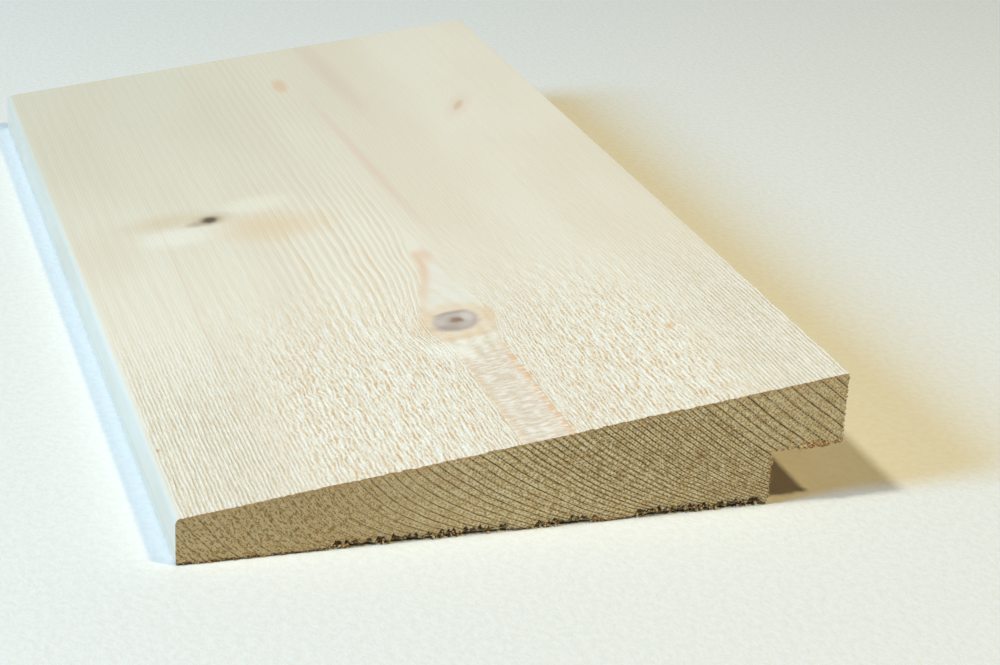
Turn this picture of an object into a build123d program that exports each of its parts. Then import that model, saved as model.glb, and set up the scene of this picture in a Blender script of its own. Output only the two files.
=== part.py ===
from build123d import *
import os

# Bevel siding board: one piece of softwood, planed on its back and both edges,
# and resawn on the slant, so that its weather face is sawn and it tapers from
# the butt edge to the thin edge. The butt edge is rabbeted on the back, to lap
# over the thin edge of the next board. All lengths are in millimetres.
# X runs across the board to the butt edge, Y along the grain, and Z up from
# the back face. The origin is the middle of the back face.

# Board
board_length = 250.0  # along the grain, sawn square at both ends
board_width = 125.0  # from the thin edge to the butt edge
thin_edge = 9.0  # thickness at the thin edge
butt_edge = 25.5  # thickness at the butt edge, back face to weather face

# Rabbet, which takes the thin edge of the next board
rabbet_width = 14.0  # from the shoulder to the butt edge
lap_clearance = 2.0  # room over the next board's thin edge, at the shoulder
roof_rise = 1.0  # the roof climbs this much from the shoulder to the butt edge

# Arrises
weather_round = 1.0  # planed round where the thin edge meets the weather face
back_ease = 0.4  # eased arris where the thin edge meets the back face
shoulder_round = 0.8  # worn foot of the shoulder
lip_ease = 0.4  # eased arris where the roof meets the butt edge


def board_section():
    """The section across the board, seen from the end at the low Y side."""
    thin_x = -board_width / 2
    butt_x = board_width / 2
    shoulder_x = butt_x - rabbet_width
    roof_z = thin_edge + lap_clearance

    # Each corner of the section, and the radius of its round.
    corners = [
        ((thin_x, 0), back_ease),
        ((shoulder_x, 0), shoulder_round),
        ((shoulder_x, roof_z), 0),
        ((butt_x, roof_z + roof_rise), lip_ease),
        ((butt_x, butt_edge), 0),
        ((thin_x, thin_edge), weather_round),
    ]
    with BuildSketch(Plane.XZ) as section:
        with BuildLine():
            FilletPolyline(
                [point for point, _ in corners],
                radius=[radius for _, radius in corners],
                close=True,
            )
        make_face()
    return section.sketch


def siding_board():
    """The section drawn out along the grain, half to each side of the origin."""
    return extrude(board_section(), amount=board_length / 2, both=True)


os.makedirs("parts", exist_ok=True)
board = siding_board()
export_step(board, "parts/siding_board.step")
print(f"siding_board: {board.volume / 1000:.1f} cm3")
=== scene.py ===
import math
import random

import bmesh
import bpy
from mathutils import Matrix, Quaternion, Vector, noise


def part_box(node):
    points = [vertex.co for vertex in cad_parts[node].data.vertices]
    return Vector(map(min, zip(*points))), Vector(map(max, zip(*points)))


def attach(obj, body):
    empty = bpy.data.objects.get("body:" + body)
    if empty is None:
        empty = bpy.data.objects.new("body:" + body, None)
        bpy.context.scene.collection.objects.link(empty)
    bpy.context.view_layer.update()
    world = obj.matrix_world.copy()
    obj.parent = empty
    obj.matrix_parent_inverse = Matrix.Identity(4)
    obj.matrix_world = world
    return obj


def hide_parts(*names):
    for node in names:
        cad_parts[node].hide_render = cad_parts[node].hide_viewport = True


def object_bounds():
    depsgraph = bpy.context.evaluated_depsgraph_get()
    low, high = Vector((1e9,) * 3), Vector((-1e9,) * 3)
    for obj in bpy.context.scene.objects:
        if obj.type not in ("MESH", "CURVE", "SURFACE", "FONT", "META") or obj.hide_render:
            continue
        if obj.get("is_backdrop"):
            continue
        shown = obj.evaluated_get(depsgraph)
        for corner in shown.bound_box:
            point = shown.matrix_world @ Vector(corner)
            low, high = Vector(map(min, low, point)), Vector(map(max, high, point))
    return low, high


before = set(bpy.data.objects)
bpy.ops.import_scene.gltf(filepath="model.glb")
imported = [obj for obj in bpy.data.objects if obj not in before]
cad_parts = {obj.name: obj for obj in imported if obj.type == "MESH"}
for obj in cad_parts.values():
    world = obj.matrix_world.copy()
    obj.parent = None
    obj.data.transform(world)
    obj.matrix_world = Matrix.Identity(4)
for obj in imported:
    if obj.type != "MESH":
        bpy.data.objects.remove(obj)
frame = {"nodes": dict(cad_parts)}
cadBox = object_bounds()
boardNode = "siding_board"
mm = 0.001
print("frame loaded:", ", ".join(frame["nodes"]))

# The board's section in millimetres. X runs to the butt edge, Y along the grain, Z up from the back.
# Places on the weather face are given as across and back, from its near left corner.
board = {
    "thinEdge": 9.0,  # height of the thin edge
    "rabbetWidth": 14.0,  # from the shoulder to the butt edge
    "roofAtShoulder": 11.0,  # height of the rabbet's roof at the shoulder
    "roofAtButt": 12.0,  # and at the butt edge
    "weatherRound": 1.0,  # planed round on the thin edge's upper arris
    "backEase": 0.4,
    "shoulderRound": 0.8,
    "lipEase": 0.4,
}
lowCorner, highCorner = [Vector(corner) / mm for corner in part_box(boardNode)]
thinX, nearY = lowCorner.x, lowCorner.y
buttX, farY, buttHeight = highCorner
shoulderX = buttX - board["rabbetWidth"]
boardWidth, boardLength = buttX - thinX, farY - nearY
taper = (buttHeight - board["thinEdge"]) / boardWidth

# The flame of short grain round the main knot: it runs to the near end, and pushes the grain aside
flame = {
    "across": 69.4,  # centre line, at the tip
    # between these two distances back, the centre line shifts and the half width grows by so much
    "stages": [(112, 90, 0, 2.2), (90, 58, -2.4, 4.4), (54, 43, 0.1, -1.9)],
    "tip": (97.0, 92.0),  # how far back the spike fades out
    "reach": 9.0,  # how far beyond it the grain still bends
    "push": 0.85,
    "depth": 6.0,  # how far below the face the bend fades out
}
knots = {
    "main": {"across": 66.5, "back": 56.3, "radius": 4.7, "length": 4.9, "soft": 0.2},
    "small": {"across": 32.0, "back": 134.5, "radius": 2.0, "length": 2.1, "soft": 0.5},
    "pin": {"across": 104.0, "back": 181.0, "radius": 1.1, "length": 3.0},
}
knotBend = 3.0  # the grain bends round a small knot over so many of its radii

# Growth rings: the board is cut so that they slope down to the right across its ends
rings = {
    "slope": 1.15,  # sideways shift for each millimetre of height, high up in the board
    "flare": 10.5,  # extra shift near the back, where the rings lie flatter
    "flareHeight": 6.0,
    "steep": (12.0, 52.0, 0.42),  # between these places across, the rings lean less on the left
    "alongSlope": -0.87,  # the same two shifts, for the direction along the rings
    "alongFlare": -3.2,
    "start": -75.0,
    # up to this ring coordinate, this spacing
    "stretches": [(-2.4, 2.9), (16.3, 2.45), (34.9, 1.75), (58.1, 1.5), (67.4, 2.4), (95.0, 3.4)],
}


def ease(value, start, end):
    share = min(max((value - start) / (end - start), 0.0), 1.0)
    return share * share * (3 - 2 * share)


def hump(value, middle, width):
    return math.exp(-(((value - middle) / width) ** 2))


def grainNoise(x, y, seed):
    return noise.noise(Vector((x, y, seed)))


def newObject(name, data):
    made = bpy.data.objects.new(name, data)
    bpy.context.collection.objects.link(made)
    return made


def meshObject(name, bm):
    mesh = bpy.data.meshes.new(name)
    bm.to_mesh(mesh)
    bm.free()
    print(name + ":", sum(len(face.vertices) - 2 for face in mesh.polygons), "triangles")
    return newObject(name, mesh)


# Section of the board


def roundedBy(radius, distance):
    # what a rounded arris takes off at this distance from it
    if distance >= radius:
        return 0.0
    return radius - math.sqrt(radius**2 - (radius - max(distance, 0.0)) ** 2)


def weatherHeight(x):
    height = board["thinEdge"] + (x - thinX) * taper
    return height - roundedBy(board["weatherRound"], x - thinX)


def backHeight(x):
    atThin = roundedBy(board["backEase"], x - thinX)
    return atThin + roundedBy(board["shoulderRound"], shoulderX - x)


def roofHeight(x):
    climb = board["roofAtButt"] - board["roofAtShoulder"]
    height = board["roofAtShoulder"] + climb * (x - shoulderX) / board["rabbetWidth"]
    return height + roundedBy(board["lipEase"], buttX - x)


# Relief of the sawn faces


def flameAt(back):
    centre, half = flame["across"], 0.0
    for start, end, shift, growth in flame["stages"]:
        share = ease(back, start, end)
        centre += shift * share
        half += growth * share
    return centre, half


def pushedAside(offset, half, reach):
    size = min(abs(offset), half) * math.exp(-max(abs(offset) - half, 0.0) / reach)
    return flame["push"] * math.copysign(size, offset)


def grainAcross(across, back):
    centre, half = flameAt(back)
    push = pushedAside(across - centre, half, flame["reach"])
    for name in ("small", "pin"):
        knot = knots[name]
        bulge = knot["radius"] * hump(back, knot["back"], knotBend * knot["length"])
        push += pushedAside(across - knot["across"], bulge, knotBend * knot["radius"])
    return across - push


def knotDistance(knot, across, back):
    aside, far = across - knot["across"], back - knot["back"]
    return math.hypot(aside / knot["radius"], far / knot["length"])


sawn = {
    "fine": (0.5, 6.0, 0.05),  # fibre ridges: size across, size along, height
    "lift": (1.1, 3.6, 0.2),  # how far one flake of torn fibre stands above the next
    "dip": (2.6, 7.0, 0.14),
    "curl": (2.2, 1.6, 0.05),  # short grain in the flame
    "wander": (16.0, 60.0, 0.12),  # the saw's slow wander
}
# the saw has torn the fibres most in front of the knot, on both sides of the flame:
# middle and half width across, from how far back it grows to its most, and its share
tearing = [(46, 19, 115, 50, 1.0), (89, 17, 105, 35, 0.9)]


def ripple(kind, across, back, seed):
    sizeAcross, sizeAlong, height = sawn[kind]
    return height * grainNoise(across / sizeAcross, back / sizeAlong, seed)


def tornness(across, back):
    most = 0.0
    for middle, width, start, end, share in tearing:
        most = max(most, share * hump(across, middle, width) * ease(back, start, end))
    edges = ease(across, 2, 22) * ease(boardWidth - across, 3, 20)
    return (0.25 + 0.75 * most) * (0.3 + 0.7 * edges)


def weatherRelief(across, back):
    # height of the sawn fibres, and how torn the wood is there
    flow = grainAcross(across, back)
    torn = tornness(across, back)
    fibres = ripple("fine", flow, back, 1.3)
    fibres += torn * (ripple("lift", flow, back, 3.8) + ripple("dip", flow, back, 6.2))
    centre, half = flameAt(back)
    within = ease(abs(across - centre), half + 0.5, half - 0.9) if half > 0.5 else 0.0
    mainRadius = knotDistance(knots["main"], across, back)
    calm = max(within * 0.85, ease(mainRadius, 1.7, 1.0))
    short = ripple("curl", across, back, 2.9) * ease(back, 60, 44) * within
    knotTop = 0.07 * ease(mainRadius, 1.15, 0.6)
    fade = ease(across, 0.5, 2.2) * (0.4 + 0.6 * ease(boardWidth - across, 0.0, 1.0))
    fibres *= (1 - calm) * (0.2 + 0.8 * ease(back, 140, 55))
    height = (fibres + short + knotTop) * fade
    return height + ripple("wander", across, back, 9.4) * fade, torn * (1 - calm)


def endRelief(x, z):
    # how far the sawn end lies behind its plane
    return 0.05 + 0.05 * grainNoise(x / 3, z / 3, 5.5) + 0.035 * grainNoise(x * 1.6, z * 1.6, 7.7)


tornArris = {
    # across from, to, and how much of the near end's lower arris is torn out there
    "chips": [(26, 62, 0.9), (64, 79, 0.95), (83, 111, 1.05)],
    "least": 0.16,
    "height": 2.2,  # the chips fade out at this height
    "rowShares": (1.0, 0.35, 0.0),  # and over the first rows behind the end
}
# the near end's upper arris: how far it rises and lies back, and over what size
jaggedArris = {"rise": 0.16, "riseSize": 0.45, "sink": 0.06, "back": 0.14, "backSize": 0.5}


def chipAt(across):
    depth = tornArris["least"]
    for start, end, most in tornArris["chips"]:
        depth += most * ease(across, start, start + 3) * ease(across, end, end - 3)
    return max(depth * (0.75 + 0.9 * grainNoise(across / 0.7, 0.0, 2.2)), 0.02)


# The board's own mesh: strips along the grain, a fine grid on the near end, one face on the far end
grid = {
    "acrossStep": 0.31,
    "nearStep": 0.75,  # along the grain, over the near part
    "nearPart": 55.0,
    "farStep": 2.85,
    "arcSteps": 4,
    "rowsBelow": 12,  # rows on the near end, below the roof and above it
    "rowsAbove": 14,
}
# each face's place on the unwrapped map, and its material
faces = {
    "weather": {"map": (0.0, 0.6, 0.0, 1.0), "finish": 0, "every": 1},
    "back": {"map": (0.785, 0.9, 0.0, 0.66), "finish": 2, "every": 8},
    "thin": {"map": (0.905, 0.925, 0.0, 1.0), "finish": 2, "every": 6},
    "shoulder": {"map": (0.96, 0.975, 0.0, 1.0), "finish": 2, "every": 4},
    "roof": {"map": (0.98, 0.998, 0.0, 1.0), "finish": 2, "every": 8},
    "butt": {"map": (0.93, 0.955, 0.0, 1.0), "finish": 2, "every": 5},
    "nearEnd": {"map": (0.605, 0.78, 0.0, 1.0), "finish": 1, "every": 1},
    "farEnd": {"map": (0.785, 0.9, 0.67, 1.0), "finish": 1, "every": 1},
}
faceNames = list(faces)


def arcPlaces(start, radius, toward):
    steps = range(grid["arcSteps"] + 1)
    turn = math.pi / 2 / grid["arcSteps"]
    return [start + toward * radius * (1 - math.cos(turn * step)) for step in steps]


def evenPlaces(start, end, step):
    count = max(round((end - start) / step), 1)
    return [start + (end - start) * part / count for part in range(1, count)]


def columnPlaces():
    # x of each column of the section, close together at the rounded arrises
    fromThin = arcPlaces(thinX, board["weatherRound"], 1)
    toShoulder = arcPlaces(shoulderX, board["shoulderRound"], -1)[::-1]
    toButt = arcPlaces(buttX, board["lipEase"], -1)[::-1]
    body = fromThin + evenPlaces(fromThin[-1], toShoulder[0], grid["acrossStep"]) + toShoulder
    lip = evenPlaces(shoulderX, toButt[0], grid["acrossStep"]) + toButt
    return body + lip, len(body) - 1


def rowPlaces():
    places = [nearY]
    while places[-1] < farY - 1.5 * grid["farStep"]:
        share = ease(places[-1] - nearY, grid["nearPart"], boardLength * 0.7)
        places.append(places[-1] + grid["nearStep"] + (grid["farStep"] - grid["nearStep"]) * share)
    return places + [farY - 0.5, farY]


class BoardMesh:
    def __init__(self):
        self.bm = bmesh.new()
        self.uv = self.bm.loops.layers.uv.new("OFBake")
        self.torn = self.bm.verts.layers.float.new("torn")
        self.face = self.bm.faces.layers.int.new("face")
        self.columns, self.shoulder = columnPlaces()
        self.rows = rowPlaces()
        self.below, self.high = grid["rowsBelow"], grid["rowsBelow"] + grid["rowsAbove"]
        foot = backHeight(shoulderX)
        height = weatherHeight(shoulderX) - foot
        self.share = (board["roofAtShoulder"] - foot) / height
        self.made = {}
        self.plain = {}

    def sectionPoint(self, column, level):
        x = self.columns[column]
        high = weatherHeight(x)
        if column > self.shoulder:
            low, share = roofHeight(x), (level - self.below) / (self.high - self.below)
        elif level <= self.below:
            low, share = backHeight(x), self.share * level / self.below
        else:
            low = backHeight(x)
            above = (level - self.below) / (self.high - self.below)
            share = self.share + (1 - self.share) * above
        return x, low + (high - low) * share

    def corner(self, column, level, row):
        key = (column, level, row)
        if key in self.made:
            return self.made[key]
        x, z = self.sectionPoint(column, level)
        y = self.rows[row]
        place = Vector((x, y, z))
        torn = 0.0
        if level == self.high:
            relief, torn = weatherRelief(x - thinX, y - nearY)
            place += Vector((-taper, 0, 1)).normalized() * relief
        if row == 0:
            place.y += endRelief(x, z)
            if level == self.high and column > grid["arcSteps"]:
                rise = jaggedArris["rise"] * grainNoise(x / jaggedArris["riseSize"], 0.0, 4.4)
                place.z += rise - jaggedArris["sink"]
                place.y += jaggedArris["back"] * abs(grainNoise(x / jaggedArris["backSize"], 0.0, 8.8))
        shares = tornArris["rowShares"]
        if row < len(shares) and column <= self.shoulder and z < tornArris["height"]:
            fade = (1 - z / tornArris["height"]) * shares[row]
            chip = chipAt(x - thinX) * fade
            place.z += chip
            place.y += 0.5 * chip
            torn = max(torn, min(chip, 1.0))
        vertex = self.bm.verts.new(place * mm)
        vertex[self.torn] = torn
        self.made[key] = vertex
        self.plain[vertex] = (x, y, z)
        return vertex

    def mapPlace(self, name, x, y, z):
        left, right, low, high = faces[name]["map"]
        along = (y - nearY) / boardLength
        if name in ("nearEnd", "farEnd"):
            s, t = z / buttHeight, (x - thinX) / boardWidth
        elif name in ("thin", "shoulder", "butt"):
            s, t = z / buttHeight, along
        else:
            s, t = (x - thinX) / boardWidth, along
        return left + (right - left) * s, low + (high - low) * t

    def addFace(self, name, corners):
        face = self.bm.faces.new(corners)
        face.smooth = True
        face.material_index = faces[name]["finish"]
        if name == "back" and self.plain[corners[0]][1] < self.rows[2]:
            # the chips run a little way under the board; these faces take the end grain, whose dark
            # foot is painted shade of the gap under them
            face.material_index = faces["nearEnd"]["finish"]
        face[self.face] = faceNames.index(name)
        for loop in face.loops:
            loop[self.uv].uv = self.mapPlace(name, *self.plain[loop.vert])

    def sew(self, name, near, far):
        # faces between two rows of (order, corner) that start and end in line
        a = b = 0
        beyond = (math.inf, None)
        while a < len(near) - 1 or b < len(far) - 1:
            nextNear = near[a + 1] if a < len(near) - 1 else beyond
            nextFar = far[b + 1] if b < len(far) - 1 else beyond
            corners = [near[a][1]]
            if nextNear[0] <= nextFar[0]:
                corners.append(nextNear[1])
                a += 1
            if nextFar[0] <= nextNear[0]:
                corners.append(nextFar[1])
                b += 1
                corners.append(far[b - 1][1])
            else:
                corners.append(far[b][1])
            self.addFace(name, corners)

    def strips(self):
        last, shoulder, below, high = len(self.columns) - 1, self.shoulder, self.below, self.high
        return {
            "back": [(i, 0) for i in range(shoulder + 1)],
            "shoulder": [(shoulder, j) for j in range(below + 1)],
            "roof": [(i, below) for i in range(shoulder, last + 1)],
            "butt": [(last, j) for j in range(below, high + 1)],
            "weather": [(i, high) for i in range(last, -1, -1)],
            "thin": [(0, j) for j in range(high, -1, -1)],
        }

    def build(self):
        rim = []
        for name, points in self.strips().items():
            every = faces[name]["every"]
            kept = [n for n in range(len(points)) if n % every == 0 or n == len(points) - 1]
            near = [(n, self.corner(*point, 0)) for n, point in enumerate(points)]
            for row in range(1, len(self.rows)):
                far = [(n, self.corner(*points[n], row)) for n in kept]
                self.sew(name, near, far)
                near = far
            rim += [vertex for _, vertex in near[:-1]]
        self.addFace("farEnd", rim)
        for i in range(len(self.columns) - 1):
            for j in range(0 if i < self.shoulder else self.below, self.high):
                steps = ((i, j), (i + 1, j), (i + 1, j + 1), (i, j + 1))
                self.addFace("nearEnd", [self.corner(*step, 0) for step in steps])
        bmesh.ops.recalc_face_normals(self.bm, faces=self.bm.faces)
        for edge in self.bm.edges:
            edge.smooth = len({face[self.face] for face in edge.link_faces}) == 1


def makeBoard():
    work = BoardMesh()
    work.build()
    return meshObject("sawn_board", work.bm)


# Torn fibres that hang from the near end's lower arris and from the rabbet
tornFibres = {
    "perMillimetre": 1.2,
    "length": (0.25, 0.55),
    "width": (0.08, 0.16),
    "footBeads": 110,
    "roofBeads": 80,
    "shoulderBeads": 30,
    "buttBeads": 30,
    "beadSize": (0.13, 0.32),
    "thickCrumbs": (8.5, 2.5, 1.7),  # in from the butt edge: from, to, and how much larger
}


def addSliver(bm, root, heading, length, width, rng):
    side = heading.orthogonal().normalized()
    other = heading.cross(side)
    bend = side * rng.uniform(-0.25, 0.25) * length
    bend += other * rng.uniform(-0.25, 0.25) * length
    loops = []
    for share, size in ((0.0, 1.0), (0.55, 0.75)):
        middle = root + heading * (length * share) + bend * share**2
        ring = []
        for turn in range(4):
            angle = turn * math.pi / 2 + 0.4
            offset = side * math.cos(angle) + other * math.sin(angle)
            ring.append(bm.verts.new((middle + offset * width * size) * mm))
        loops.append(ring)
    tip = bm.verts.new((root + heading * length + bend) * mm)
    bm.faces.new(loops[0][::-1])
    for turn in range(4):
        after = (turn + 1) % 4
        bm.faces.new((loops[0][turn], loops[0][after], loops[1][after], loops[1][turn]))
        bm.faces.new((loops[1][turn], loops[1][after], tip))


def addBead(bm, middle, size, rng):
    made = bmesh.ops.create_icosphere(bm, subdivisions=2, radius=size * mm)["verts"]
    stretch = Vector((rng.uniform(0.6, 1.3), rng.uniform(0.7, 1.5), rng.uniform(0.6, 1.2)))
    for vertex in made:
        bump = 1 + 0.45 * noise.noise(vertex.co / mm * 3 + middle * 5)
        vertex.co = Vector([a * b for a, b in zip(vertex.co, stretch)]) * bump + middle * mm


def arrisPlaces():
    # the torn arrises of the near end: from, to, the way their fibres point, and how thick they stand
    lift, roof, butt = 0.3, board["roofAtShoulder"], board["roofAtButt"]
    return [
        ((thinX + 0.5, lift), (shoulderX - 0.4, lift), (0, -0.7, -0.5), 1.0),
        ((shoulderX, 0.9), (shoulderX, roof), (0.9, -0.6, -0.2), 1.2),
        ((shoulderX, roof), (buttX - 0.5, butt), (0, -0.4, -0.9), 1.6),
        ((buttX, butt + 0.5), (buttX, buttHeight), (0.8, -0.4, 0.1), 0.6),
    ]


def crumbPlaces(rng):
    # crumbs of wood along the same arrises, and how large each is
    least, most = tornFibres["beadSize"]
    for _ in range(tornFibres["footBeads"]):
        across = thinX + 0.4 + rng.random() * (shoulderX - thinX - 1)
        chip = chipAt(across - thinX)
        size = rng.uniform(least, most) * (0.7 + 0.5 * min(chip, 0.6))
        y = nearY + rng.uniform(0.02, 0.3)
        yield Vector((across, y, max(chip * rng.uniform(0.4, 1.1), size * 0.9))), size
    thickFrom, thickTo, growth = tornFibres["thickCrumbs"]
    for _ in range(tornFibres["roofBeads"]):
        across = rng.uniform(shoulderX + 0.3, buttX - 0.3)
        if rng.random() < 0.65:
            across = rng.uniform(buttX - thickFrom, buttX - thickTo)
        size = rng.uniform(least, most) * (growth if across > buttX - thickFrom else 1.0)
        y = nearY + rng.uniform(0.0, 0.6)
        yield Vector((across, y, roofHeight(across) - size * rng.uniform(0.0, 0.9))), size
    shoulder = (shoulderX, -0.3, 0.7), (0.6, board["roofAtShoulder"] - 0.2), 1.0, 0.5
    butt = (buttX, -0.5, 0.3), (board["roofAtButt"], buttHeight - 0.6), 0.8, 0.4
    for name, edge in (("shoulderBeads", shoulder), ("buttBeads", butt)):
        (middle, inward, outward), heights, share, behind = edge
        for _ in range(tornFibres[name]):
            z = rng.uniform(*heights)
            size = rng.uniform(least, most) * share
            x = middle + size * rng.uniform(inward, outward)
            yield Vector((x, nearY + rng.uniform(0.0, behind), z)), size


def makeTornFibres():
    rng = random.Random(12)
    bm = bmesh.new()
    for startPlace, endPlace, heading, thickness in arrisPlaces():
        start, end = [Vector((x, 0, z)) for x, z in (startPlace, endPlace)]
        heading = Vector(heading)
        count = int((end - start).length * tornFibres["perMillimetre"] * thickness)
        for _ in range(count):
            root = start.lerp(end, rng.random())
            if abs(heading.x) < 0.1:
                root.z += chipAt(root.x - thinX) * 0.8 if root.z < 1 else 0.1
            root.y = nearY + rng.uniform(0.05, 0.5)
            aim = heading + Vector([rng.uniform(-0.45, 0.45) for _ in range(3)])
            aim.normalize()
            length = rng.uniform(*tornFibres["length"])
            drop = root.z + aim.z * length
            if root.z < 2 and drop < 0.05:
                length = max((root.z - 0.05) / max(-aim.z, 0.1), 0.15)
            addSliver(bm, root, aim, length, rng.uniform(*tornFibres["width"]), rng)
    for middle, size in crumbPlaces(rng):
        addBead(bm, middle, size, rng)
    bmesh.ops.recalc_face_normals(bm, faces=bm.faces)
    return meshObject("torn_fibres", bm)


# Node helpers


def paint(red, green, blue):
    # a colour as it looks on screen, from 0 to 255
    channels = [channel / 255 for channel in (red, green, blue)]
    return [((c + 0.055) / 1.055) ** 2.4 if c > 0.04 else c / 12.92 for c in channels] + [1.0]


def feed(socket, value):
    if isinstance(value, bpy.types.NodeSocket):
        socket.id_data.links.new(value, socket)
    elif value is not None:
        socket.default_value = value


def addNode(tree, kind, sockets=None, **settings):
    made = tree.nodes.new(kind)
    for name, value in settings.items():
        setattr(made, name, value)
    for name, value in (sockets or {}).items():
        feed(made.inputs[name], value)
    return made


def treeOf(*values):
    # the node tree that the first socket among these belongs to
    return next(value.id_data for value in values if isinstance(value, bpy.types.NodeSocket))


def maths(operation, *values):
    made = addNode(treeOf(*values), "ShaderNodeMath", operation=operation)
    for socket, value in zip(made.inputs, values):
        feed(socket, value)
    return made.outputs[0]


def times(first, *others):
    for other in others:
        first = maths("MULTIPLY", first, other)
    return first


def plus(first, second):
    return maths("ADD", first, second)


def minus(first, second):
    return maths("SUBTRACT", first, second)


def ratio(first, second):
    return maths("DIVIDE", first, second)


def timesPlus(first, factor, added):
    return maths("MULTIPLY_ADD", first, factor, added)


def fading(value, reach):
    # from one at the start towards nothing, over this reach
    return maths("EXPONENT", ratio(value, -reach))


def vectorMaths(operation, first, second=None, scale=None):
    made = addNode(first.id_data, "ShaderNodeVectorMath", operation=operation)
    for number, value in ((0, first), (1, second), (3, scale)):
        feed(made.inputs[number], value)
    return made.outputs[1 if operation == "LENGTH" else 0]


def smooth(value, start, end, low=0.0, high=1.0, kind="SMOOTHSTEP"):
    sockets = {"Value": value, "From Min": start, "From Max": end, "To Min": low, "To Max": high}
    made = addNode(value.id_data, "ShaderNodeMapRange", sockets, interpolation_type=kind)
    return made.outputs["Result"]


def layer(under, over, *shares):
    made = addNode(treeOf(*shares), "ShaderNodeMix", data_type="RGBA")
    for number, value in ((0, times(*shares)), (6, under), (7, over)):
        feed(made.inputs[number], value)
    return made.outputs[2]


def noiseAt(place, scale=1.0, detail=2.0, roughness=0.5, distortion=0.0):
    if isinstance(scale, tuple):
        place, scale = vectorMaths("MULTIPLY", place, scale), 1.0
    sockets = {"Vector": place, "Scale": scale, "Detail": detail, "Roughness": roughness}
    sockets["Distortion"] = distortion
    return addNode(place.id_data, "ShaderNodeTexNoise", sockets).outputs["Fac"]


def joined(x, y, z=0.0):
    return addNode(x.id_data, "ShaderNodeCombineXYZ", {"X": x, "Y": y, "Z": z}).outputs[0]


def split(vector):
    return addNode(vector.id_data, "ShaderNodeSeparateXYZ", {"Vector": vector}).outputs


def addSockets(group, side, labels):
    for label in labels:
        kind = "NodeSocketVector" if label == "Place" else "NodeSocketFloat"
        group.interface.new_socket(name=label, in_out=side, socket_type=kind)


def newGroup(name, *inputs):
    group = bpy.data.node_groups.new(name, "ShaderNodeTree")
    addSockets(group, "INPUT", inputs)
    return group, group.nodes.new("NodeGroupInput").outputs


def closeGroup(group, results):
    addSockets(group, "OUTPUT", results)
    out = group.nodes.new("NodeGroupOutput").inputs
    for label, value in results.items():
        feed(out[label], value)
    return group


def useGroup(tree, group, sockets=None):
    return addNode(tree, "ShaderNodeGroup", sockets, node_tree=group).outputs


# Shader groups that the board's materials share


def makeBoardSpace():
    # millimetres from the near left corner, and the depth below the weather face
    group, _ = newGroup("board space")
    coords = addNode(group, "ShaderNodeTexCoord").outputs["Object"]
    scaled = vectorMaths("SCALE", coords, scale=1 / mm)
    place = vectorMaths("SUBTRACT", scaled, (thinX, nearY, 0.0))
    x, y, z = split(place)
    depth = minus(timesPlus(x, taper, board["thinEdge"]), z)
    return closeGroup(group, {"Place": place, "Across": x, "Back": y, "Height": z, "Depth": depth})


def nodePush(offset, half, reach):
    # the same push aside as the relief has
    size = maths("ABSOLUTE", offset)
    beyond = maths("MAXIMUM", minus(size, half), 0.0)
    fade = fading(beyond, reach)
    push = times(maths("MINIMUM", size, half), fade)
    return times(push, maths("SIGN", offset), flame["push"])


def makeGrainFlow():
    # where the grain would be without its knots, and how many millimetres inside the flame a point lies
    group, given = newGroup("grain flow", "Across", "Back", "Depth")
    across, back = given["Across"], given["Back"]
    centre, half = flame["across"], 0.0
    for start, end, shift, growth in flame["stages"]:
        share = smooth(back, start, end)
        centre = timesPlus(share, shift, centre)
        half = timesPlus(share, growth, half)
    offset = minus(across, centre)
    push = nodePush(offset, half, flame["reach"])
    for name in ("small", "pin"):
        knot = knots[name]
        far = ratio(minus(back, knot["back"]), knotBend * knot["length"])
        bulge = times(fading(times(far, far), 1.0), knot["radius"])
        aside = minus(across, knot["across"])
        push = plus(push, nodePush(aside, bulge, knotBend * knot["radius"]))
    depth = maths("MAXIMUM", given["Depth"], 0.0)
    fade = fading(depth, flame["depth"])
    flow = minus(across, times(push, fade))
    inside = minus(half, maths("ABSOLUTE", offset))
    return closeGroup(group, {"Across": flow, "Offset": offset, "Inside": inside})


def makeGrowthRings():
    # the dark late wood of each ring, a tone for each ring, and coordinates across and along the rings
    group, given = newGroup("growth rings", "Place", "Across", "Line Start", "Wobble")
    place = given["Place"]
    x, _, z = split(place)
    decay = fading(z, rings["flareHeight"])
    shift = timesPlus(decay, -rings["flare"], times(z, rings["slope"]))
    left, right, least = rings["steep"]
    steep = smooth(x, left, right, least, 1.0)
    wobble = minus(noiseAt(place, (0.11, 0.012, 0.11), 2.5), 0.5)
    wave = noiseAt(place, (0.25, 0.09, 0.25), 1.0)
    wobble = times(timesPlus(wave, 0.35, wobble), given["Wobble"])
    across = plus(given["Across"], thinX)
    cross = plus(plus(across, times(shift, steep)), wobble)
    start, age = rings["start"], 0.0
    spacing = before = rings["stretches"][0][1]
    for end, size in rings["stretches"]:
        part = smooth(cross, start, end, 0.0, (end - start) / size, "LINEAR")
        age = plus(part, age)
        change = smooth(cross, start - 1, start + 1, 0.0, size - before)
        spacing = plus(spacing, change)
        start, before = end, size
    phase = maths("FRACT", age)
    rise, fall = smooth(phase, given["Line Start"], 0.93), smooth(phase, 1.0, 0.95)
    number = {"W": maths("FLOOR", age)}
    tone = addNode(group, "ShaderNodeTexWhiteNoise", number, noise_dimensions="1D").outputs["Value"]
    along = timesPlus(decay, rings["alongFlare"], times(z, rings["alongSlope"]))
    along = plus(ratio(along, steep), x)
    results = {"Late": times(rise, fall), "Tone": tone, "Age": age}
    return closeGroup(group, results | {"Spacing": spacing, "Cross": cross, "Along": along})


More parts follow.
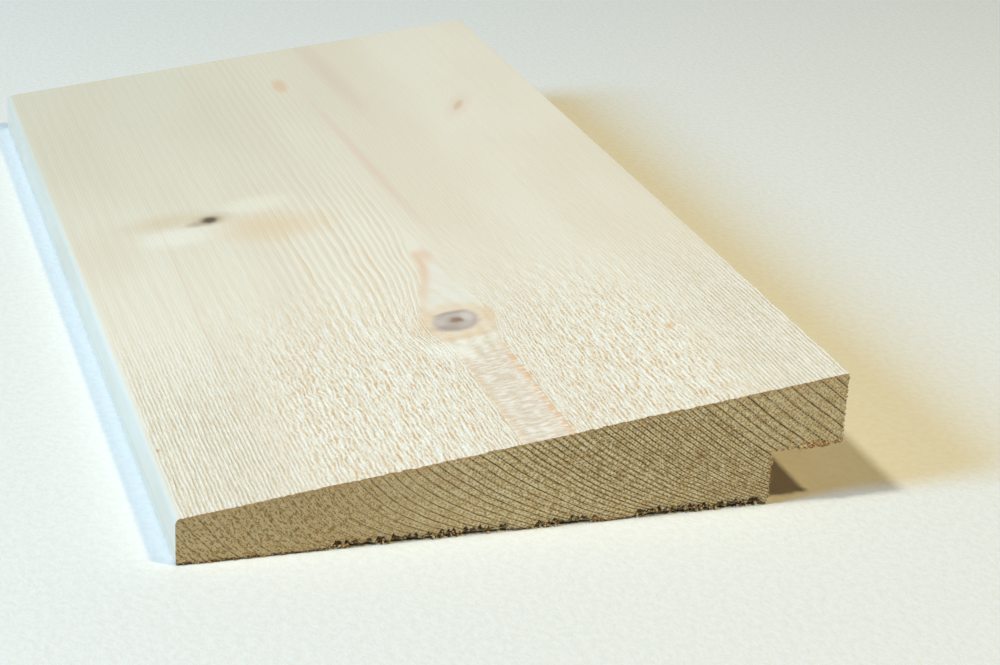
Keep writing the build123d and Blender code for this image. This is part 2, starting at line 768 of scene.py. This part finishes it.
def makeFibreGrain():
    # ridges of fibre along the grain: nearly even at their pitch, broken along their length
    group, given = newGroup("fibre grain", "Across", "Place", "Pitch", "Length", "Even", "Sway")
    _, y, z = split(given["Place"])
    sideways = ratio(given["Across"], given["Pitch"])
    deep = ratio(z, given["Pitch"])
    place = joined(sideways, ratio(y, given["Length"]), deep)
    sway = noiseAt(place, (0.45, 0.8, 0.45))
    turns = timesPlus(sway, given["Sway"], plus(sideways, deep))
    wave = maths("SINE", times(turns, math.tau))
    broken = smooth(noiseAt(place, (1.7, 1.0, 1.7)), 0.25, 0.75, -1.0, 1.0)
    broken = times(minus(1.0, given["Even"]), broken)
    ridge = timesPlus(timesPlus(wave, given["Even"], broken), 0.45, 0.5)
    hair = minus(noiseAt(place, (3.2, 4.5, 3.2)), 0.5)
    results = {"Ridge": timesPlus(hair, 1.1, ridge), "Height": plus(hair, ridge)}
    results["Broad"] = noiseAt(place, (0.13, 0.12, 0.13), 3.0, 0.55)
    return closeGroup(group, results)


markLabels = "Middle Across", "Middle Back", "Width", "Length", "Lean", "Soft", "Uneven"


def makeSoftMark():
    # an oval mark with a soft, uneven edge, and the distance from its middle in radii
    group, given = newGroup("soft mark", "Across", "Back", *markLabels)
    far = minus(given["Back"], given["Middle Back"])
    aside = minus(given["Across"], given["Middle Across"])
    aside = minus(aside, times(far, given["Lean"]))
    aside = ratio(aside, given["Width"])
    shape = joined(aside, ratio(far, given["Length"]))
    rough = minus(noiseAt(shape, 1.7, 3.0, 0.6), 0.5)
    rough = times(rough, given["Uneven"])
    radii = plus(vectorMaths("LENGTH", shape), rough)
    inner, outer = minus(1.0, given["Soft"]), plus(1.0, given["Soft"])
    return closeGroup(group, {"Mark": smooth(radii, outer, inner), "Radii": radii})


def makeBroadTone():
    # slow changes of tone over the whole board
    group, given = newGroup("broad tone", "Place", "Scale")
    stretched = vectorMaths("MULTIPLY", given["Place"], (1.0, 0.3, 1.0))
    tone = noiseAt(stretched, given["Scale"])
    stretched = vectorMaths("MULTIPLY", given["Place"], (1.6, 0.9, 1.6))
    blotch = noiseAt(stretched, given["Scale"], 4.0, 0.65, 0.6)
    return closeGroup(group, {"Tone": tone, "Blotch": blotch})


def makeGroups():
    return {
        "space": makeBoardSpace(),
        "flow": makeGrainFlow(),
        "rings": makeGrowthRings(),
        "fibres": makeFibreGrain(),
        "mark": makeSoftMark(),
        "tone": makeBroadTone(),
    }


def newMaterial(name):
    made = bpy.data.materials.new(name)
    made.use_nodes = True
    return made, made.node_tree


def finishMaterial(made, colour, roughness, height, depth, strength=1.0):
    # the bump's height is in units of this depth, in millimetres
    tree = made.node_tree
    bump = {"Height": height, "Distance": depth * mm, "Strength": strength}
    normal = addNode(tree, "ShaderNodeBump", bump).outputs["Normal"]
    shader = tree.nodes["Principled BSDF"].inputs
    for name, value in {"Base Color": colour, "Roughness": roughness, "Normal": normal}.items():
        feed(shader[name], value)
    return made


def tornAt(tree):
    return addNode(tree, "ShaderNodeAttribute", attribute_name="torn").outputs["Fac"]


# the size of the fibre ridges: their pitch across, their length, how even they are and how they sway
fibreSizes = {
    "fine": {"Pitch": 0.88, "Length": 5.0, "Even": 0.55, "Sway": 0.9},
    "flakes": {"Pitch": 1.1, "Length": 3.4, "Even": 0.5, "Sway": 2.2},
    "planed": {"Pitch": 0.7, "Length": 16.0, "Even": 0.0, "Sway": 1.0},
}

weatherLook = {
    "cream": paint(226, 217, 197),
    "pale": paint(231, 225, 208),
    # painted highlight on the tops of the fibre ridges; the same pale also colours the early wood of
    # the rings
    "ridge": paint(250, 248, 238),
    # painted shade in the furrows between the fibre ridges
    "furrowShade": paint(208, 189, 158),
    # painted shade between the torn flakes
    "tornFurrowShade": paint(215, 170, 117),
    "ring": paint(220, 195, 158),
    "flameInside": paint(214, 197, 178),
    "flameFuzz": paint(240, 232, 220),
    "flameEdge": paint(226, 184, 142),
    "spikePale": paint(232, 229, 218),
    "spikeEdge": paint(226, 184, 146),
    # left and right edge of the spike: how far in it starts, its side, and its strength along the board
    "spikeEdges": [(3.4, 0.6, -1.0, (60, 90, 0.3, 0.75)), (1.4, 0.0, 1.0, (66, 84, 0.0, 0.35))],
    "relief": 0.18,  # depth of the bump in millimetres
}
# marks on the weather face: across, back, half width, half length, lean, softness, unevenness,
# colour and share
marks = {
    # painted shade: the far left of the face darker and greyer, where the light falls off
    "painted shade at the far left": (12, 222, 58, 84, 0.0, 0.8, 0.3, (205, 202, 181), 0.5),
    "pale patch left of the small knot": (24, 127.5, 8, 5, 0.0, 0.7, 0.5, (240, 238, 226), 0.6),
    "pale patch right of the small knot": (43, 139, 7, 4.5, 0.0, 0.7, 0.5, (240, 237, 222), 0.5),
    "tan right of the small knot": (44, 124, 10, 7.5, -0.3, 0.8, 0.6, (226, 202, 166), 0.6),
    "tan left of the small knot": (23, 138, 9, 4, 0.2, 0.8, 0.6, (214, 196, 164), 0.55),
    "tan at the left edge": (8, 125, 6, 14, 0.0, 0.9, 0.6, (220, 204, 176), 0.35),
    "blush round the small knot": (32.3, 135, 4.4, 3.4, 0.0, 0.55, 0.4, (200, 182, 156), 0.55),
    "smear left of the small knot": (29.2, 133.3, 2.6, 1.5, 0.0, 0.7, 0.5, (168, 158, 134), 0.6),
    "tan mark at the back": (67, 219.5, 1.7, 5.0, 0.05, 0.6, 0.6, (220, 190, 156), 0.7),
    "pink streak behind the spike": (73, 155, 1.1, 40, -0.03, 0.8, 0.8, (222, 194, 176), 0.45),
    "brown streak at the back": (80.5, 222, 2.6, 30, -0.04, 0.8, 0.7, (212, 190, 172), 0.35),
    "pin knot": (104, 181, 1.0, 3.0, 0.45, 0.5, 0.5, (200, 158, 128), 0.6),
    "halo of the pin knot": (104, 181, 2.6, 7, 0.4, 0.8, 0.4, (222, 200, 178), 0.45),
    "speck near the thin edge": (1.7, 27, 0.3, 0.7, 0.0, 0.5, 0.4, (196, 130, 96), 0.6),
    "red line on the left": (19.6, 82, 0.25, 42, 0.02, 0.7, 0.7, (212, 182, 158), 0.3),
    "tan blob on the right": (103.2, 34.5, 0.9, 1.3, 0.2, 0.6, 0.7, (224, 186, 142), 0.65),
    "pale patch below the knot": (61.2, 43.5, 3.3, 4.0, -0.5, 0.6, 0.6, (246, 244, 233), 0.75),
    "tan below the knot": (66.5, 48.5, 6.5, 1.0, 0.0, 0.6, 0.6, (224, 194, 156), 0.5),
    "tan right of the knot": (73.4, 56.5, 1.0, 4.0, 0.1, 0.6, 0.6, (222, 190, 150), 0.5),
}
# and within the main knot: a dark side, a pale side
knotMarks = {
    "dark lower left": (64.0, 53.4, 2.3, 1.5, -0.6, 0.7, 0.4, (158, 143, 135), 0.6),
    "dark upper side": (66.6, 60.2, 3.0, 0.7, 0.0, 0.7, 0.4, (164, 149, 141), 0.5),
    "pale right side": (69.0, 57.4, 1.2, 1.9, 0.0, 0.7, 0.4, (218, 210, 204), 0.7),
    "pale left side": (62.9, 57.0, 1.0, 1.6, 0.0, 0.8, 0.4, (208, 198, 190), 0.5),
}
# a knot's shades from its heart outwards, and the halo that reaches over so many of its radii
knotLooks = {
    "main": {
        "shades": [
            (0.0, paint(132, 105, 86)),
            (0.18, paint(152, 128, 110)),
            (0.36, paint(184, 170, 160)),
            (0.6, paint(194, 183, 176)),
            (0.88, paint(184, 171, 163)),
            (1.0, paint(194, 179, 166)),
        ],
        "halo": paint(228, 204, 172),
        "reach": 2.15,
        "share": 0.55,
    },
    "small": {
        "shades": [(0.0, paint(66, 54, 40)), (0.5, paint(86, 73, 56)), (1.0, paint(146, 128, 104))],
        "halo": paint(196, 178, 150),
        "reach": 2.0,
        "share": 0.35,
    },
}


def markAt(tree, groups, space, shape):
    given = {"Across": space["Across"], "Back": space["Back"]} | dict(zip(markLabels, shape))
    return useGroup(tree, groups["mark"], given)


def addMarks(tree, groups, space, colour, marks):
    for *shape, shade, share in marks.values():
        mark = markAt(tree, groups, space, shape)["Mark"]
        colour = layer(colour, paint(*shade), mark, share)
    return colour


def addKnot(tree, groups, space, colour, name):
    knot, look = knots[name], knotLooks[name]
    across, back, radius, length = [knot[key] for key in ("across", "back", "radius", "length")]
    uneven = 0.4
    shape = across, back, radius, length, 0.0, knot["soft"], uneven
    mark = markAt(tree, groups, space, shape)
    around = smooth(mark["Radii"], look["reach"], look["reach"] - 0.8)
    colour = layer(colour, look["halo"], around, look["share"])
    ramp = addNode(tree, "ShaderNodeValToRGB", {"Fac": mark["Radii"]})
    shades, stops = look["shades"], ramp.color_ramp.elements
    stops[0].position, stops[0].color = shades[0]
    stops[1].position, stops[1].color = shades[-1]
    for position, shade in shades[1:-1]:
        stops.new(position).color = shade
    colour = layer(colour, ramp.outputs["Color"], mark["Mark"])
    # a darker speck beside the knot's heart
    shape = across + 0.2 * radius, back, 0.11 * radius, 0.2 * length, 0.0, 0.6, uneven
    speck = markAt(tree, groups, space, shape)["Mark"]
    return layer(colour, shades[0][1], speck, 0.6), mark["Mark"]


def makeWeatherFace(groups):
    made, tree = newMaterial("sawn weather face")
    look = weatherLook
    space = useGroup(tree, groups["space"])
    place, across, back = space["Place"], space["Across"], space["Back"]
    flow = useGroup(tree, groups["flow"], {"Across": across, "Back": back, "Depth": space["Depth"]})
    grain = {"Place": place, "Across": flow["Across"]}
    ring = useGroup(tree, groups["rings"], grain | {"Line Start": 0.25, "Wobble": 3.0})
    fine = useGroup(tree, groups["fibres"], grain | fibreSizes["fine"])
    # where the saw has torn the fibres, they stand up in short flakes
    flakes = useGroup(tree, groups["fibres"], grain | fibreSizes["flakes"])
    coarse = smooth(tornAt(tree), 0.2, 0.7, 0.0, 0.9)
    tone = useGroup(tree, groups["tone"], {"Place": place, "Scale": 0.035})

    colour = layer(look["cream"], look["pale"], smooth(tone["Tone"], 0.35, 0.65))
    # the growth rings show most on the left of the knot, and behind it
    shows = times(smooth(across, 34, 50), smooth(across, 76, 62))
    shows = times(shows, smooth(back, 38, 70), smooth(back, 165, 95, 0.12, 0.8))
    shows = timesPlus(shows, 0.8, smooth(across, 60, 80, 0.16, 0.05))
    early = smooth(ring["Late"], 0.35, 0.0, 0.0, 0.5)
    colour = layer(colour, look["ridge"], early, shows)
    patchy = smooth(noiseAt(place, (0.25, 0.07, 0.25), 3.0), 0.36, 0.6, 0.35, 1.0)
    late = times(ring["Late"], smooth(ring["Tone"], 0.35, 0.7, 0.08, 0.9))
    colour = layer(colour, look["ring"], late, shows, patchy)

    crisp = times(smooth(back, 95, 30, 0.1, 1.0), smooth(across, 0.3, 2.0))
    whole = times(crisp, minus(1.0, coarse))
    # painted shade in the low furrows and painted highlight on the high ridges
    low, high = smooth(fine["Ridge"], 0.45, 0.1), smooth(fine["Ridge"], 0.5, 0.85)
    colour = layer(colour, look["furrowShade"], low, whole, 0.6)
    colour = layer(colour, look["ridge"], high, whole, 0.6)
    broken = times(crisp, coarse)
    # painted highlight on the tops of the torn flakes and painted shade between them
    low, high = smooth(flakes["Ridge"], 0.38, 0.1), smooth(flakes["Ridge"], 0.5, 0.8)
    colour = layer(colour, look["ridge"], high, broken, 0.8)
    colour = layer(colour, look["tornFurrowShade"], low, broken, 0.85)

    # the flame: short pink grain in front of the knot, a pale spike with an orange edge behind it
    strokes = noiseAt(place, (0.5, 1.7, 0.3), 3.0)
    tufts = noiseAt(place, (0.35, 1.0, 0.3))
    fuzzy = timesPlus(minus(tufts, 0.5), 3.2, flow["Inside"])
    inside = smooth(fuzzy, -0.5, 1.2)
    inFront = smooth(back, 49, 34)
    pink = layer(look["flameInside"], look["flameFuzz"], smooth(strokes, 0.42, 0.62))
    flecks = smooth(tufts, 0.34, 0.6, 0.45, 0.8)
    colour = layer(colour, pink, inside, inFront, flecks)
    rim = times(smooth(fuzzy, -0.5, 0.3), smooth(fuzzy, 1.9, 0.7))
    sides = smooth(flow["Offset"], -1.0, 1.0, 0.25, 0.8)
    rim = times(rim, sides, smooth(tufts, 0.4, 0.58, 0.25, 1.0))
    colour = layer(colour, look["flameEdge"], rim, inFront)
    behind = times(smooth(back, 58, 66), smooth(back, *flame["tip"]))
    within = times(smooth(flow["Inside"], -0.8, 1.4), behind)
    colour = layer(colour, look["spikePale"], within, 0.7)
    edges = smooth(back, 83, 93, 0.0, 0.55)
    for reach, start, end, strength in look["spikeEdges"]:
        side = times(smooth(flow["Inside"], reach, 0.4), smooth(flow["Offset"], start, end))
        edges = maths("MAXIMUM", edges, times(side, smooth(back, *strength)))
    colour = layer(colour, look["spikeEdge"], edges, within)

    colour = addMarks(tree, groups, space, colour, marks)
    colour, mainKnot = addKnot(tree, groups, space, colour, "main")
    colour = addMarks(tree, groups, space, colour, knotMarks)
    colour, smallKnot = addKnot(tree, groups, space, colour, "small")

    dark = maths("MAXIMUM", mainKnot, smallKnot)
    roughness = smooth(dark, 0.0, 1.0, 0.86, 0.6)
    calm = times(timesPlus(dark, -0.8, 1.0), smooth(inside, 0.0, 1.0, 1.0, 0.4))
    calm = times(calm, smooth(crisp, 0.0, 1.0, 0.07, 1.0))
    step = minus(flakes["Height"], fine["Height"])
    height = times(timesPlus(step, coarse, fine["Height"]), calm)
    return finishMaterial(made, colour, roughness, height, look["relief"])


endLook = {
    "wood": paint(249, 226, 177),
    "woodDark": paint(233, 203, 148),
    "side": paint(217, 189, 138),
    "fibre": paint(255, 250, 212),
    "gap": paint(142, 110, 42),
    "line": paint(108, 80, 22),
    "pore": paint(46, 30, 2),
    "streak": paint(170, 118, 40),
    "rim": paint(204, 164, 112),
    # painted shade: the dark foot of the end and the gap under its torn chips
    "foot": paint(62, 42, 14),
    "relief": 0.16,  # depth of the bump in millimetres
    "lineAge": 0.86,  # where in each ring its dark line lies
    "poreStep": 0.95,  # millimetres from one pore to the next along a ring
    "rowStep": 1.5,  # and between the fainter rows
}


def makeEndGrain(groups):
    made, tree = newMaterial("sawn end grain")
    look = endLook
    space = useGroup(tree, groups["space"])
    place, across = space["Place"], space["Across"]
    given = {"Place": place, "Across": across, "Line Start": 0.68, "Wobble": 1.0}
    ring = useGroup(tree, groups["rings"], given)
    tone = useGroup(tree, groups["tone"], {"Place": place, "Scale": 0.25})
    cross, along = ring["Cross"], ring["Along"]
    ringPlace = joined(cross, along)

    # the pale mouths of the fibres, in rows along the rings
    colour = layer(look["wood"], look["woodDark"], smooth(tone["Blotch"], 0.35, 0.65))
    weave = {"Vector": vectorMaths("MULTIPLY", ringPlace, (1.15, 1.3, 1.0)), "Scale": 1.0}
    weave["Randomness"] = 0.55
    dots = addNode(tree, "ShaderNodeTexVoronoi", weave).outputs["Distance"]
    clear = smooth(across, 15, 75, 0.35, 1.0)
    colour = layer(colour, look["fibre"], smooth(dots, 0.5, 0.15), clear, 0.65)
    colour = layer(colour, look["gap"], smooth(dots, 0.45, 0.7), clear, 0.6)
    # on the left, dashes along the rings instead
    left, right = smooth(across, 60, 20), smooth(across, 100, 116, 0.0, 0.3)
    sides = maths("MAXIMUM", times(left, 0.7), right)
    colour = layer(colour, look["side"], sides)
    dashes = smooth(noiseAt(ringPlace, (2.1, 0.65, 1.0), 1.0), 0.48, 0.66)
    colour = layer(colour, look["gap"], dashes, left, 0.75)
    speckle = noiseAt(place, 3.2, 3.0, 0.7)
    colour = layer(colour, look["woodDark"], smooth(speckle, 0.52, 0.72, 0.0, 0.3))

    # dark late wood, dotted along each ring
    broken = smooth(noiseAt(ringPlace, (0.4, 0.3, 1.0)), 0.3, 0.6, 0.5, 1.0)
    broken = times(broken, smooth(across, 22, 60, 0.3, 1.0))
    middle = minus(maths("FRACT", ring["Age"]), look["lineAge"])
    middle = times(maths("ABSOLUTE", middle), ring["Spacing"])
    strength = smooth(ring["Tone"], 0.0, 1.0, 0.75, 1.0)
    line = times(smooth(middle, 0.3, 0.08), broken, strength)
    colour = layer(colour, look["line"], line, 0.9)
    order = timesPlus(ring["Tone"], 5.0, ratio(along, look["poreStep"]))
    order = plus(order, noiseAt(ringPlace, 0.8))
    beads = maths("SINE", times(order, math.tau))
    pore = times(smooth(beads, 0.1, 0.8), smooth(middle, 0.27, 0.1), broken)
    # fainter rows of pores lie between the rings
    row = maths("FRACT", timesPlus(cross, 1 / look["rowStep"], 0.17))
    row = maths("ABSOLUTE", minus(row, 0.5))
    faint = times(smooth(beads, -0.3, -0.8), smooth(row, 0.17, 0.05), 0.55)
    pore = maths("MAXIMUM", pore, faint)
    colour = layer(colour, look["pore"], pore, 0.9)

    # orange streaks on the left, a tan rim under the weather face, and a dark foot that is painted
    # shade along the bottom and under the torn chips
    streak = smooth(noiseAt(ringPlace, (0.9, 0.35, 1.0)), 0.58, 0.7)
    where = times(smooth(across, 6, 22), smooth(across, 48, 34))
    colour = layer(colour, look["streak"], streak, where, 0.7)
    ragged = noiseAt(place, 1.3, 3.0, 0.7)
    rim = smooth(timesPlus(ragged, -2.4, space["Depth"]), 0.0, -1.0, 0.0, 0.5)
    colour = layer(colour, look["rim"], rim)
    foot = smooth(timesPlus(ragged, -1.6, space["Height"]), -0.1, -0.6, 0.0, 0.92)
    colour = layer(colour, look["foot"], foot)
    # painted shade under the torn chips of the lower arris
    torn = smooth(timesPlus(ragged, 0.9, tornAt(tree)), 0.95, 1.2, 0.0, 0.9)
    colour = layer(colour, look["foot"], torn, smooth(space["Height"], 3.0, 2.0))

    height = timesPlus(line, -0.8, speckle)
    height = timesPlus(pore, -1.4, height)
    height = timesPlus(dots, -0.9, height)
    roughness = smooth(speckle, 0.3, 0.7, 0.8, 0.95)
    return finishMaterial(made, colour, roughness, height, look["relief"])


planedLook = {
    "wood": paint(226, 212, 188),
    "pale": paint(232, 222, 202),
    # painted shade in the rabbet, dark and brown as under the lip
    "rabbetShade": paint(202, 160, 98),
    "late": paint(218, 192, 156),
    "streak": paint(222, 202, 172),
    "relief": 0.03,
    "knifeStep": 1.6,  # millimetres between the planer's ripples
}


def makePlanedWood(groups):
    made, tree = newMaterial("planed edges and back")
    look = planedLook
    space = useGroup(tree, groups["space"])
    place, across = space["Place"], space["Across"]
    flow = useGroup(tree, groups["flow"], {name: space[name] for name in ("Across", "Back", "Depth")})
    grain = {"Place": place, "Across": flow["Across"]}
    ring = useGroup(tree, groups["rings"], grain | {"Line Start": 0.3, "Wobble": 3.0})
    fibres = useGroup(tree, groups["fibres"], grain | fibreSizes["planed"])
    tone = useGroup(tree, groups["tone"], {"Place": place, "Scale": 0.05})
    colour = layer(look["wood"], look["pale"], smooth(tone["Tone"], 0.35, 0.65))
    late = times(ring["Late"], smooth(ring["Tone"], 0.0, 1.0, 0.05, 0.3))
    colour = layer(colour, look["late"], late)
    colour = layer(colour, look["streak"], smooth(fibres["Ridge"], 0.45, 0.1), 0.2)
    # painted shade: the rabbet's shoulder and roof are darker and browner, like the shade under the lip
    edge = shoulderX - thinX
    rabbetShade = smooth(across, edge - 0.2, edge - 0.1)
    rabbetShade = times(rabbetShade, smooth(across, boardWidth - 0.1, boardWidth - 0.3))
    colour = layer(colour, look["rabbetShade"], rabbetShade, 0.75)
    # ripples of the planer's knives across the grain
    knives = maths("SINE", times(space["Back"], math.tau / look["knifeStep"]))
    height = timesPlus(knives, 0.12, fibres["Height"])
    roughness = smooth(fibres["Broad"], 0.3, 0.7, 0.5, 0.66)
    return finishMaterial(made, colour, roughness, height, look["relief"])


tornLook = {
    "wood": paint(212, 184, 132),
    "dark": paint(140, 90, 32),
    "pale": paint(226, 204, 160),
    "relief": 0.08,
}


def makeTornWood(groups):
    made, tree = newMaterial("torn fibres")
    look = tornLook
    place = useGroup(tree, groups["space"])["Place"]
    tone = useGroup(tree, groups["tone"], {"Place": place, "Scale": 1.1})
    colour = layer(look["wood"], look["dark"], smooth(tone["Blotch"], 0.42, 0.56))
    speckle = noiseAt(place, 2.4)
    colour = layer(colour, look["pale"], smooth(speckle, 0.56, 0.68), 0.6)
    roughness = smooth(speckle, 0.3, 0.7, 0.75, 0.95)
    return finishMaterial(made, colour, roughness, noiseAt(place, 5.0), look["relief"])


# Stage, light and camera

stage = {
    "floorSize": 8.0,
    "floor": paint(236, 241, 241),
    "sky": paint(236, 238, 235),
    "ambient": 0.01,
    "ambientColour": (1.0, 0.78, 0.5, 1.0),
}


def makeFloor():
    mesh = bpy.data.meshes.new("floor")
    half = stage["floorSize"] / 2
    corners = [(-half, -half, 0), (half, -half, 0), (half, half, 0), (-half, half, 0)]
    mesh.from_pydata(corners, [], [(0, 1, 2, 3)])
    made, tree = newMaterial("pale paper floor")
    coords = addNode(tree, "ShaderNodeTexCoord").outputs["Object"]
    mottle = noiseAt(coords, 620.0, 3.0, 0.6)
    darker = [channel * 0.965 for channel in stage["floor"][:3]] + [1.0]
    colour = layer(stage["floor"], darker, smooth(mottle, 0.4, 0.62))
    mesh.materials.append(finishMaterial(made, colour, 0.9, mottle, 0.2, 0.9))
    newObject("floor", mesh)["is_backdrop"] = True


def makeWorld():
    world = bpy.data.worlds.new("studio")
    bpy.context.scene.world = world
    world.use_nodes = True
    tree = world.node_tree
    tree.nodes.clear()
    seen = addNode(tree, "ShaderNodeLightPath").outputs
    direct = maths("MAXIMUM", seen["Is Camera Ray"], seen["Is Glossy Ray"])
    direct = maths("MAXIMUM", direct, seen["Is Transmission Ray"])
    mixed = addNode(tree, "ShaderNodeMixShader", {"Fac": direct})
    kinds = (stage["ambientColour"], stage["ambient"]), (stage["sky"], 1.0)
    for number, (colour, strength) in enumerate(kinds, 1):
        sockets = {"Color": colour, "Strength": strength}
        feed(mixed.inputs[number], addNode(tree, "ShaderNodeBackground", sockets).outputs[0])
    addNode(tree, "ShaderNodeOutputWorld", {"Surface": mixed.outputs[0]})


# where each lamp stands in metres, its size, its power and its colour
lamps = {
    "window": {"place": (-1.9, -0.3, 1.1), "size": 0.8, "power": 47.0, "colour": (0.25, 0.57, 1.0)},
    "ceiling": {"place": (-0.55, -0.12, 1.13), "size": 0.14, "power": 7.8, "colour": (1.0, 0.89, 0.63)},
    "room": {"place": (0.47, -0.48, 1.12), "size": 0.15, "power": 6.9, "colour": (1.0, 0.75, 0.34)},
}


def aim(made, place, target, roll=0.0):
    made.location = place
    made.rotation_mode = "QUATERNION"
    turn = (Vector(target) - Vector(place)).to_track_quat("-Z", "Y")
    made.rotation_quaternion = turn @ Quaternion((0, 0, 1), math.radians(roll))


def makeLamps():
    for name, lamp in lamps.items():
        light = bpy.data.lights.new(name, "AREA")
        light.shape, light.size = "DISK", lamp["size"]
        light.energy, light.color = lamp["power"], lamp["colour"]
        aim(newObject(name, light), lamp["place"], (0, 0, 0))


view = {
    "place": (-0.12392, -0.47238, 0.19146),
    "target": (0.01135, -0.07453, 0.01699),
    "roll": 2.99,  # degrees
    "lens": 82.68,
}


def makeCamera():
    camera = bpy.data.cameras.new("camera")
    camera.lens, camera.sensor_width = view["lens"], 36.0
    camera.clip_start, camera.clip_end = 0.01, 50.0
    made = newObject("camera", camera)
    aim(made, view["place"], view["target"], view["roll"])
    bpy.context.scene.camera = made


makeCamera()
makeFloor()
makeWorld()
makeLamps()
bpy.context.scene.view_settings.view_transform = "Standard"
print("stage, light and camera ready")

sawnBoard = makeBoard()
fibres = makeTornFibres()
groups = makeGroups()
for makeFinish in (makeWeatherFace, makeEndGrain, makePlanedWood):
    sawnBoard.data.materials.append(makeFinish(groups))
fibres.data.materials.append(makeTornWood(groups))
print("materials ready")

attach(sawnBoard, "root")
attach(fibres, "root")
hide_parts(boardNode)
corners = [[list(corner) for corner in box] for box in (cadBox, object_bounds())]
print("pieces ride on the board")
